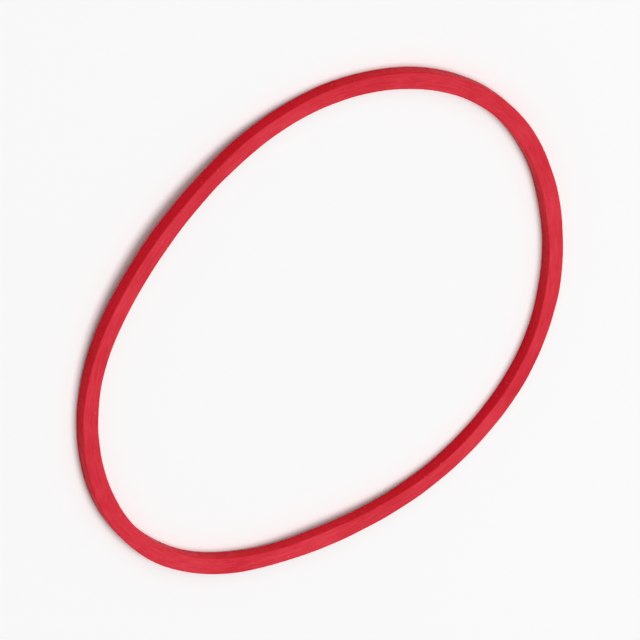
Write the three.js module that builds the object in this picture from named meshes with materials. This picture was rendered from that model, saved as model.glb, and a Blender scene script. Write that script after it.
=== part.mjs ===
import * as THREE from 'three';

// One thin rubber band at rest: a slice of moulded rubber tube lying on one of its two cut faces.
// Millimetres, +Z up, the table at z = 0 and the loop centred on the origin.

const INSIDE_DIAMETER = 38;
const WALL = 1.3; // rubber between the inside and the outside of the loop
const CUT_WIDTH = 0.9; // length of tube in the slice, the band's height as it lies
const EDGE_RADIUS = 0.1; // roundness of the four long edges, where the cut meets the wall

// Where the relaxed loop strays from a circle: how many bulges go round it, their size in millimetres
// and the angle of the first one in degrees.
const BULGES = [
  { count: 2, size: 0.22, angle: 113 },
  { count: 3, size: 0.43, angle: 50 },
  { count: 4, size: 0.18, angle: 15 },
  { count: 5, size: 0.09, angle: -12 },
];

// The stretches that arch a little off the table between those that lie flat on it: the angle of the top,
// the reach to either side and the roll of the section in degrees, the height in millimetres.
const ARCHES = [
  { angle: 98, reach: 50, height: 0.42, roll: -2 },
  { angle: 236, reach: 40, height: 0.28, roll: 7 },
];

// The section's corners in the order it is drawn: which way each lies from the section's middle.
const CORNERS = [
  { outward: 1, upward: 1 },
  { outward: -1, upward: 1 },
  { outward: -1, upward: -1 },
  { outward: 1, upward: -1 },
];

const STEPS_ROUND = 120;
const STEPS_PER_EDGE = 3;

const RADIUS = INSIDE_DIAMETER / 2 + WALL / 2; // circle through the middle of the rubber
const QUARTER_TURN = Math.PI / 2;

const rubber = new THREE.MeshStandardMaterial({ color: '#d62c3a', roughness: 0.55, metalness: 0 });

// The section's rounded rectangle, drawn round from its outer side and closed on itself.
function sectionOutline() {
  const outline = [];
  CORNERS.forEach((corner, order) => {
    const x = RADIUS + corner.outward * (WALL / 2 - EDGE_RADIUS);
    const y = CUT_WIDTH / 2 + corner.upward * (CUT_WIDTH / 2 - EDGE_RADIUS);
    for (let step = 0; step <= STEPS_PER_EDGE; step += 1) {
      const turn = (order + step / STEPS_PER_EDGE) * QUARTER_TURN;
      outline.push(new THREE.Vector2(x + EDGE_RADIUS * Math.cos(turn), y + EDGE_RADIUS * Math.sin(turn)));
    }
  });
  outline.push(outline[0].clone());
  return outline;
}

function bulgeAt(angle) {
  let total = 0;
  for (const bulge of BULGES) {
    total += bulge.size * Math.cos(bulge.count * (angle - THREE.MathUtils.degToRad(bulge.angle)));
  }
  return total;
}

// How much of an arch is felt at an angle: one at its top, smoothly down to nothing at its reach.
function shareOf(arch, angle) {
  const away = angle - THREE.MathUtils.degToRad(arch.angle);
  const distance = Math.abs(Math.atan2(Math.sin(away), Math.cos(away)));
  const reach = THREE.MathUtils.degToRad(arch.reach);
  if (distance >= reach) {
    return 0;
  }
  return Math.cos(distance / reach * QUARTER_TURN) ** 2;
}

// Moves every point of a round ring to where the relaxed band has it.
function relax(ring) {
  const points = ring.getAttribute('position');
  for (let index = 0; index < points.count; index += 1) {
    const x = points.getX(index);
    const y = points.getY(index);
    const angle = Math.atan2(y, x);
    let roll = 0;
    let lift = 0;
    for (const arch of ARCHES) {
      const share = shareOf(arch, angle);
      roll += THREE.MathUtils.degToRad(arch.roll) * share;
      lift += arch.height * share;
    }
    const place = new THREE.Vector2(Math.hypot(x, y) - RADIUS, points.getZ(index) - CUT_WIDTH / 2);
    place.rotateAround(new THREE.Vector2(), roll);
    const reach = RADIUS + bulgeAt(angle) + place.x;
    const height = CUT_WIDTH / 2 + lift + place.y;
    points.setXYZ(index, reach * Math.cos(angle), reach * Math.sin(angle), height);
  }
  ring.computeBoundingBox();
  const centre = ring.boundingBox.getCenter(new THREE.Vector3());
  ring.translate(-centre.x, -centre.y, 0);
  ring.computeVertexNormals();
}

const ring = new THREE.LatheGeometry(sectionOutline(), STEPS_ROUND);
ring.rotateX(QUARTER_TURN);
relax(ring);

const band = new THREE.Mesh(ring, rubber);
band.name = 'rubber_band';

const part = new THREE.Group();
part.name = 'rubber_band_part';
part.add(band);

export default part;
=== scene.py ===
import math
from types import SimpleNamespace

import bmesh
import bpy
import numpy as np
from mathutils import Matrix, Vector


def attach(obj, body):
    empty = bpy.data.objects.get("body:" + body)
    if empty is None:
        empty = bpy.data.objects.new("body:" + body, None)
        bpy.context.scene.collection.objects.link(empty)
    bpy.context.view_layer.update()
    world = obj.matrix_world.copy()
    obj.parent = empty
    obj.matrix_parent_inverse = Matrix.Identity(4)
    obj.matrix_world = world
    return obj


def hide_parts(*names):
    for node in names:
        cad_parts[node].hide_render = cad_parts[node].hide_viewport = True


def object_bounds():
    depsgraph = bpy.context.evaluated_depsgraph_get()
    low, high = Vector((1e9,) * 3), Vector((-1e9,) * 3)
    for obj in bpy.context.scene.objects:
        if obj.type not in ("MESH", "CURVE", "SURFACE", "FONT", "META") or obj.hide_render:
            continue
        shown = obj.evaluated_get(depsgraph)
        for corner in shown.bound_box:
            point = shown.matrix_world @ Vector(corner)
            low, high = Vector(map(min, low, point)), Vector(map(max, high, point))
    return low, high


# Lengths are in metres and angles in degrees, unless a comment says otherwise.
MM = 0.001
FULL_TURN = 2 * math.pi  # radians
QUARTER_TURN = FULL_TURN / 4
WHITE = (1, 1, 1, 1)
NODE = "rubber_band"
PIECE = "rubber_band_surface"
SEED = 11

# Reading the CAD ring: points this close are one point, points this near a section's top are on its flat
# upper face, and a gap in angle of over this share of the widest one parts two sections.
SAME_POINT = 0.001 * MM
SAME_HEIGHT = 0.005 * MM
SECTION_GAP = 0.5

# Fine mesh of the band: sections round the loop, steps on each rounded edge and on each face.
STATIONS = 1440
EDGE_STEPS = 6
FACE_STEPS = 8

# What a slice of soft tube has and a perfect ring has not. Each is a smooth random line round the loop:
# its fewest and most waves, and its size as a root mean square.
EDGE_WANDER = (4, 40, 0.12)  # share of the edges' radius
LOOP_WANDER = (5, 8, 0.016 * MM)
WALL_WANDER = (3, 18, 0.014 * MM)
CUT_WANDER = (3, 18, 0.014 * MM)
CUT_SLANT = (2, 12, 0.03)  # slope of the upper cut face
DIE_LINES = (120, 340, 0.003 * MM)  # fine lines along the tube, on both walls

# The cut faces are hollowed a little, and the knife leaves shallow slanting waves on them.
CUT_DISH = 0.03 * MM
KNIFE_DEPTH = 0.006 * MM
KNIFE_WAVES = 30
KNIFE_ROUND = (3, 60)  # the fewest waves round the loop, and one more than the most
KNIFE_ACROSS = 5  # the most waves across a face

# Colours of the moulded walls, the cut faces, the rounded edges and the dust. The edges' lighter red is
# partly talc and partly a painted highlight. A cover is the largest share that a colour has over those
# before it.
WALL_RED = (0.69, 0.001, 0.012, 1)
BRIGHT_WALL_RED = (0.74, 0.003, 0.020, 1)
DEEP_WALL_RED = (0.58, 0.0005, 0.008, 1)
CUT_RED = (0.60, 0.021, 0.041, 1)
PALE_CUT_RED = (0.75, 0.053, 0.08, 1)
# Lighter red on the rounded edges: partly talc, partly a painted highlight.
EDGE_HIGHLIGHT_AND_TALC = (0.74, 0.03, 0.06, 1)
DUST = (0.82, 0.25, 0.28, 1)
DEEP_COVER = 0.35
CUT_COVER = 0.75
EDGE_HIGHLIGHT_COVER = 0.2
DUST_COVER = 0.3

# Noises in the rubber: waves to the millimetre along the band and round its section, detail, roughness.
NOISES = {
    "cloud": (0.2, 0.2, 3.0, 0.5),
    "mottle": (1.4, 1.4, 4.0, 0.6),
    "grain": (9.0, 9.0, 3.0, 0.6),
    "specks": (6.0, 6.0, 1.0, 0.4),
    "streaks": (0.7, 8.0, 3.0, 0.6),
    "lines": (5.0, 0.3, 2.0, 0.5),
}

# The values of its noise between which each effect comes in.
BRIGHT_RANGE = (0.35, 0.65)
DEEP_RANGE = (0.4, 0.75)
PALE_RANGE = (0.8, 1.25)  # of two noises added
SPECK_RANGE = (0.70, 0.76)
DUSTY_RANGE = (0.42, 0.6)
ROUGH_RANGE = (0.3, 0.7)

# Finish of the rubber.
WALL_ROUGHNESS = (0.46, 0.58)
CUT_ROUGHER = 0.10
GRAIN_SHARE = 0.5
BUMP_STRENGTH = 0.4
BUMP_HEIGHT = 0.02 * MM
RUBBER_SPECULAR = 0.12
SUBSURFACE_SHARE = 0.18
SUBSURFACE_RADIUS = (1.0, 0.18, 0.14)
SUBSURFACE_SCALE = 0.35 * MM

# The floor as it lights the band, and as the camera and reflections see it.
FLOOR_HALF = 3.0
FLOOR_LIT = (0.8, 0.8, 0.8, 1)
FLOOR_SEEN = (0.96, 0.96, 0.96, 1)
FLOOR_ROUGHNESS = 0.9
FLOOR_SPECULAR = 0.1

# Soft light: two large lamps that face the origin, with their power in watts, and an even white world.
KEY = dict(place=(0.15, -0.35, 1.25), size=0.9, power=11.8)
FILL = dict(place=(0.40, 0.95, 0.90), size=0.9, power=3.5)
WORLD_LEVEL = 0.3

# Camera: a long lens that looks down on the band, rolled so that the upper cut face looks to the
# lower right.
ELEVATION = 40.26
ROLL = 227.9
DISTANCE = 0.7
VIEW_WIDTH = 44.5 * MM
SENSOR_MM = 36.0
CLIP_START = 0.01
CLIP_END = 20

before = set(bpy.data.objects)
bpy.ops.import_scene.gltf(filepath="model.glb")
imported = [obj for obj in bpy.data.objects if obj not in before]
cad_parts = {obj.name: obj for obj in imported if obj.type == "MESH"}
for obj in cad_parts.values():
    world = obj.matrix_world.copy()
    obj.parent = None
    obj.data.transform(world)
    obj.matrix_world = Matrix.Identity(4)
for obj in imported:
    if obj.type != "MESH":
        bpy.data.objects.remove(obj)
cad_low, cad_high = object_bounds()
rng = np.random.RandomState(SEED)


def unit(vectors):
    return vectors / np.linalg.norm(vectors, axis=-1, keepdims=True)


def cad_sections(node):
    """The CAD ring's points: one row for each section, in order round the loop and round the section."""
    mesh = bmesh.new()
    mesh.from_mesh(node.data)
    bmesh.ops.remove_doubles(mesh, verts=mesh.verts, dist=SAME_POINT)
    points = np.array([v.co for v in mesh.verts], float)
    mesh.free()
    angle = np.arctan2(points[:, 1], points[:, 0])
    order = np.argsort(angle)
    points, angle = points[order], angle[order]
    gap = np.diff(angle, append=angle[0] + FULL_TURN)
    breaks = np.nonzero(gap > SECTION_GAP * gap.max())[0]
    rows = np.roll(points, -(breaks[-1] + 1), axis=0).reshape(len(breaks), -1, 3)
    for row in rows:
        middle = row.mean(axis=0)
        outward = unit(middle * (1, 1, 0))
        row[:] = row[np.argsort(np.arctan2(row[:, 2] - middle[2], (row - middle) @ outward))]
    return rows


def resample(values, count):
    """Values at even steps round a closed loop, on a smooth curve through the given ones."""
    n = len(values)
    place = np.arange(count) * n / count
    index = np.floor(place).astype(int)
    t = (place - index).reshape((-1,) + (1,) * (values.ndim - 1))
    a, b, c, d = (values[(index + k) % n] for k in (-1, 0, 1, 2))
    return b + 0.5 * t * (c - a + t * (2 * a - 5 * b + 4 * c - d + t * (3 * (b - c) + d - a)))


def smooth_ring():
    """The CAD ring at the mesh's stations: middles, directions and half sizes, and the edges' radius."""
    rows = resample(cad_sections(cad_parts[NODE]), STATIONS)
    middle = rows.mean(axis=1)
    # A section's points start at the inner face's middle and run under the band first.
    half = rows.shape[1] // 2
    upward = unit(rows[:, half:].mean(axis=1) - rows[:, :half].mean(axis=1))
    tangent = unit(np.roll(middle, -1, axis=0) - np.roll(middle, 1, axis=0))
    outward = unit(np.cross(tangent, upward))
    upward = np.cross(outward, tangent)
    reach = np.einsum("ijk,ik->ij", rows - middle[:, None], outward)
    rise = np.einsum("ijk,ik->ij", rows - middle[:, None], upward)
    half_wall = reach.max(axis=1)
    half_cut = rise.max(axis=1)
    # The upper face is flat up to where its rounded edges begin.
    flat = np.where(rise > half_cut[:, None] - SAME_HEIGHT, reach, 0).max(axis=1)
    return SimpleNamespace(
        middle=middle,
        angle=np.arctan2(middle[:, 1], middle[:, 0]),
        outward=outward,
        upward=upward,
        half_wall=half_wall,
        half_cut=half_cut,
        edge=np.median(half_wall - flat),
    )


def wander(angle, fewest, most, size):
    """A smooth random line round the loop, of fewest to most waves and about that root mean square."""
    total = np.zeros_like(angle)
    for waves in range(fewest, most + 1):
        total += rng.normal() * np.cos(waves * angle + rng.uniform(0, FULL_TURN))
    return total * size / math.sqrt((most - fewest + 1) / 2)


def make_uneven(ring):
    """Lets the ring's edges, line and wall wander."""
    ring.edge = ring.edge * (1 + wander(ring.angle, *EDGE_WANDER))
    ring.middle = ring.middle + ring.outward * wander(ring.angle, *LOOP_WANDER)[:, None]
    ring.half_wall = ring.half_wall + wander(ring.angle, *WALL_WANDER)


def knife_marks(angle):
    """Slanting waves for the cut faces: a function of the place across a face, from -1 to 1."""
    waves = []
    for _ in range(KNIFE_WAVES):
        around = rng.randint(*KNIFE_ROUND)
        across = rng.uniform(-KNIFE_ACROSS, KNIFE_ACROSS) * math.pi
        waves.append((around, across, rng.uniform(0, FULL_TURN)))

    def depth(place):
        total = sum(np.cos(around * angle + across * place + start) for around, across, start in waves)
        return KNIFE_DEPTH * total / math.sqrt(KNIFE_WAVES / 2)

    return depth


def section_points():
    """Round the section from its lower outer edge: place between the edges' centres, and normal."""
    signs = ((1, -1), (1, 1), (-1, 1), (-1, -1))
    for order, (outward, upward) in enumerate(signs):
        for step in range(EDGE_STEPS + 1):
            turn = (order - 1 + step / EDGE_STEPS) * QUARTER_TURN
            yield outward, upward, math.cos(turn), math.sin(turn)
        next_outward, next_upward = signs[(order + 1) % len(signs)]
        turn = order * QUARTER_TURN
        for step in range(1, FACE_STEPS):
            share = step / FACE_STEPS
            across = outward + (next_outward - outward) * share
            up = upward + (next_upward - upward) * share
            yield across, up, math.cos(turn), math.sin(turn)


def surface_points(ring, section):
    """The band's points: one row for each station, each in the section's order."""
    top_more = wander(ring.angle, *CUT_WANDER)
    slant = wander(ring.angle, *CUT_SLANT)
    die = wander(ring.angle, *DIE_LINES)
    knife = knife_marks(ring.angle)
    columns = []
    for out, up, out_normal, up_normal in section:
        across = out * (ring.half_wall - ring.edge) + (ring.edge + die) * out_normal
        height = up * (ring.half_cut - ring.edge) + (ring.edge + knife(out)) * up_normal
        height -= CUT_DISH * (1 - out * out) * up_normal
        height += (1 + up) / 2 * (top_more + slant * across)
        place = ring.middle + ring.outward * across[:, None] + ring.upward * height[:, None]
        place[:, 2] = np.maximum(place[:, 2], cad_low.z)
        columns.append(place)
    return np.stack(columns, axis=1)


def band_places(ring, grid):
    """Where each point is on the band, in mm: on a circle for the way along it, and round the section."""
    radius = np.hypot(ring.middle[:, 0], ring.middle[:, 1]).mean() / MM
    circle = radius * np.stack([np.cos(ring.angle), np.sin(ring.angle)], axis=1)
    steps = np.linalg.norm(np.diff(grid, axis=1), axis=2).mean(axis=0)
    girth = np.concatenate([[0], np.cumsum(steps)]) / MM
    along = np.repeat(circle, len(girth), axis=0)
    return np.concatenate([along, np.tile(girth, STATIONS)[:, None]], axis=1)


def ring_mesh(grid):
    """A closed mesh of four-sided faces between each section and the next."""
    here = np.arange(grid.shape[0] * grid.shape[1]).reshape(grid.shape[:2])
    ahead = np.roll(here, -1, axis=0)
    faces = np.stack([here, ahead, np.roll(ahead, -1, axis=1), np.roll(here, -1, axis=1)], axis=-1)
    mesh = bpy.data.meshes.new(PIECE)
    mesh.from_pydata(grid.reshape(-1, 3).tolist(), [], faces.reshape(-1, 4).tolist())
    mesh.shade_smooth()
    return mesh


def add_to_points(mesh, name, kind, key, values):
    """Keeps values on the mesh's points, for the material to read."""
    attribute = mesh.attributes.new(name, kind, "POINT")
    attribute.data.foreach_set(key, np.ravel(values).astype(np.float32))


def make_band():
    ring = smooth_ring()
    make_uneven(ring)
    section = list(section_points())
    grid = surface_points(ring, section)
    mesh = ring_mesh(grid)
    # How far a point faces as the cut faces do, and how far as the middle of a rounded edge does.
    cut_face = [up ** 2 for _, _, _, up in section]
    edge = [4 * (out * up) ** 2 for _, _, out, up in section]
    add_to_points(mesh, "cut_face", "FLOAT", "value", np.tile(cut_face, STATIONS))
    add_to_points(mesh, "edge", "FLOAT", "value", np.tile(edge, STATIONS))
    add_to_points(mesh, "band_place", "FLOAT_VECTOR", "vector", band_places(ring, grid))
    band = bpy.data.objects.new(PIECE, mesh)
    bpy.context.scene.collection.objects.link(band)
    return band


class Nodes:
    """Adds nodes to one material and joins them."""

    def __init__(self, material):
        material.use_nodes = True
        self.tree = material.node_tree
        self.shader = self.tree.nodes["Principled BSDF"]

    def add(self, kind, inputs=(), **settings):
        made = self.tree.nodes.new(kind)
        for name, value in settings.items():
            setattr(made, name, value)
        for key, value in dict(inputs).items():
            self.set(made.inputs[key], value)
        return made

    def set(self, socket, value):
        """Joins a socket to another node's output, or gives it a value."""
        if isinstance(value, bpy.types.NodeSocket):
            self.tree.links.new(value, socket)
        else:
            socket.default_value = value

    def shade(self, **values):
        """Sets the shader's own sockets, by their names with underscores for spaces."""
        for name, value in values.items():
            self.set(self.shader.inputs[name.replace("_", " ")], value)

    def noise(self, place, along, around, detail, roughness):
        inputs = {0: place, 1: (along, along, around)}
        scaled = self.add("ShaderNodeVectorMath", inputs, operation="MULTIPLY").outputs[0]
        inputs = {"Vector": scaled, "Scale": 1.0, "Detail": detail, "Roughness": roughness}
        return self.add("ShaderNodeTexNoise", inputs).outputs["Fac"]

    def ramp(self, value, low, high, to_low=0.0, to_high=1.0):
        inputs = {"Value": value, "From Min": low, "From Max": high, "To Min": to_low, "To Max": to_high}
        return self.add("ShaderNodeMapRange", inputs).outputs["Result"]

    def math(self, operation, a, b):
        return self.add("ShaderNodeMath", {0: a, 1: b}, operation=operation).outputs[0]

    def mix(self, share, a, b):
        """A colour: a where share is 0, and b where it is 1."""
        inputs = {"Factor": share, "A": a, "B": b}
        made = self.add("ShaderNodeMix", data_type="RGBA")
        for socket in made.inputs:
            if socket.enabled and socket.name in inputs:
                self.set(socket, inputs[socket.name])
        return next(s for s in made.outputs if s.enabled)

    def attribute(self, name, output="Fac"):
        return self.add("ShaderNodeAttribute", attribute_name=name).outputs[output]


def rubber_colour(nodes, noise, cut, edge):
    """Clouded red walls, paler streaked cut faces, talc and a painted highlight on the edges, a few specks
    of dust.
    """
    bright = nodes.ramp(noise.cloud, *BRIGHT_RANGE)
    colour = nodes.mix(bright, WALL_RED, BRIGHT_WALL_RED)
    deep = nodes.ramp(noise.mottle, *DEEP_RANGE, to_high=DEEP_COVER)
    colour = nodes.mix(deep, colour, DEEP_WALL_RED)
    pale = nodes.ramp(nodes.math("ADD", noise.streaks, noise.cloud), *PALE_RANGE)
    cut_colour = nodes.mix(pale, CUT_RED, PALE_CUT_RED)
    colour = nodes.mix(nodes.math("MULTIPLY", cut, CUT_COVER), colour, cut_colour)
    # Painted highlight, with a little talc: the rounded edges turn a lighter pink.
    colour = nodes.mix(nodes.math("MULTIPLY", edge, EDGE_HIGHLIGHT_COVER), colour, EDGE_HIGHLIGHT_AND_TALC)
    speck = nodes.ramp(noise.specks, *SPECK_RANGE)
    dusty = nodes.ramp(noise.mottle, *DUSTY_RANGE, to_high=DUST_COVER)
    return nodes.mix(nodes.math("MULTIPLY", speck, dusty), colour, DUST)


def rubber_roughness(nodes, noise, cut):
    """Uneven, and higher on the cut faces."""
    wall = nodes.ramp(noise.mottle, *ROUGH_RANGE, *WALL_ROUGHNESS)
    return nodes.math("ADD", wall, nodes.math("MULTIPLY", cut, CUT_ROUGHER))


def rubber_bump(nodes, noise, cut):
    """Streaks along the cut faces, lines across the walls, and a fine grain on both."""
    on_walls = nodes.math("MULTIPLY", noise.lines, nodes.math("SUBTRACT", 1.0, cut))
    height = nodes.math("ADD", nodes.math("MULTIPLY", noise.streaks, cut), on_walls)
    height = nodes.math("ADD", height, nodes.math("MULTIPLY", noise.grain, GRAIN_SHARE))
    inputs = {"Height": height, "Strength": BUMP_STRENGTH, "Distance": BUMP_HEIGHT}
    return nodes.add("ShaderNodeBump", inputs).outputs["Normal"]


def rubber_material():
    material = bpy.data.materials.new("red_rubber")
    nodes = Nodes(material)
    place = nodes.attribute("band_place", "Vector")
    cut = nodes.attribute("cut_face")
    edge = nodes.attribute("edge")
    noise = SimpleNamespace(**{name: nodes.noise(place, *sizes) for name, sizes in NOISES.items()})
    nodes.shade(
        Base_Color=rubber_colour(nodes, noise, cut, edge),
        Roughness=rubber_roughness(nodes, noise, cut),
        Normal=rubber_bump(nodes, noise, cut),
        Specular_IOR_Level=RUBBER_SPECULAR,
        Subsurface_Weight=SUBSURFACE_SHARE,
        Subsurface_Radius=SUBSURFACE_RADIUS,
        Subsurface_Scale=SUBSURFACE_SCALE,
    )
    return material


def floor_material():
    """Nearly white to the camera and in reflections, and a pale grey where it bounces light."""
    material = bpy.data.materials.new("pale_floor")
    nodes = Nodes(material)
    rays = nodes.add("ShaderNodeLightPath").outputs
    seen = nodes.math("ADD", rays["Is Camera Ray"], rays["Is Glossy Ray"])
    seen = nodes.math("MINIMUM", nodes.math("ADD", seen, rays["Is Transmission Ray"]), 1.0)
    nodes.shade(
        Base_Color=nodes.mix(seen, FLOOR_LIT, FLOOR_SEEN),
        Roughness=FLOOR_ROUGHNESS,
        Specular_IOR_Level=FLOOR_SPECULAR,
    )
    return material


def make_floor():
    mesh = bpy.data.meshes.new("floor")
    corners = [(x * FLOOR_HALF, y * FLOOR_HALF, 0) for x, y in ((-1, -1), (1, -1), (1, 1), (-1, 1))]
    mesh.from_pydata(corners, [], [(0, 1, 2, 3)])
    mesh.materials.append(floor_material())
    floor = bpy.data.objects.new("floor", mesh)
    bpy.context.scene.collection.objects.link(floor)


def area_light(name, place, size, power):
    data = bpy.data.lights.new(name, "AREA")
    data.size = size
    data.energy = power
    light = bpy.data.objects.new(name, data)
    light.location = place
    light.rotation_euler = (-Vector(place)).to_track_quat("-Z", "Y").to_euler()
    bpy.context.scene.collection.objects.link(light)


def make_world():
    world = bpy.data.worlds.new("studio")
    world.use_nodes = True
    background = world.node_tree.nodes["Background"]
    background.inputs["Color"].default_value = WHITE
    background.inputs["Strength"].default_value = WORLD_LEVEL
    bpy.context.scene.world = world


def make_camera():
    tilt = math.radians(ELEVATION)
    roll = math.radians(ROLL)
    back = Vector((0, math.cos(tilt), math.sin(tilt)))
    level_right = Vector((-1, 0, 0))
    level_up = back.cross(level_right)
    right = level_right * math.cos(roll) - level_up * math.sin(roll)
    up = level_right * math.sin(roll) + level_up * math.cos(roll)
    # The middle of the view is the middle of the band as the lens sees it.
    points = [v.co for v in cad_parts[NODE].data.vertices]
    target = Vector()
    for axis in (right, up):
        seen = [axis.dot(point) / (1 - back.dot(point) / DISTANCE) for point in points]
        target += axis * (min(seen) + max(seen)) / 2
    data = bpy.data.cameras.new("camera")
    data.sensor_width = SENSOR_MM
    data.lens = SENSOR_MM * DISTANCE / VIEW_WIDTH
    data.clip_start = CLIP_START
    data.clip_end = CLIP_END
    camera = bpy.data.objects.new("camera", data)
    turn = Matrix((right, up, back)).transposed().to_4x4()
    camera.matrix_world = Matrix.Translation(target + back * DISTANCE) @ turn
    bpy.context.scene.collection.objects.link(camera)
    bpy.context.scene.camera = camera


band = make_band()
band.data.materials.append(rubber_material())
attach(band, "root")
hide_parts(NODE)
make_floor()
make_world()
area_light("key", **KEY)
area_light("fill", **FILL)
make_camera()
bpy.context.scene.view_settings.view_transform = "Standard"
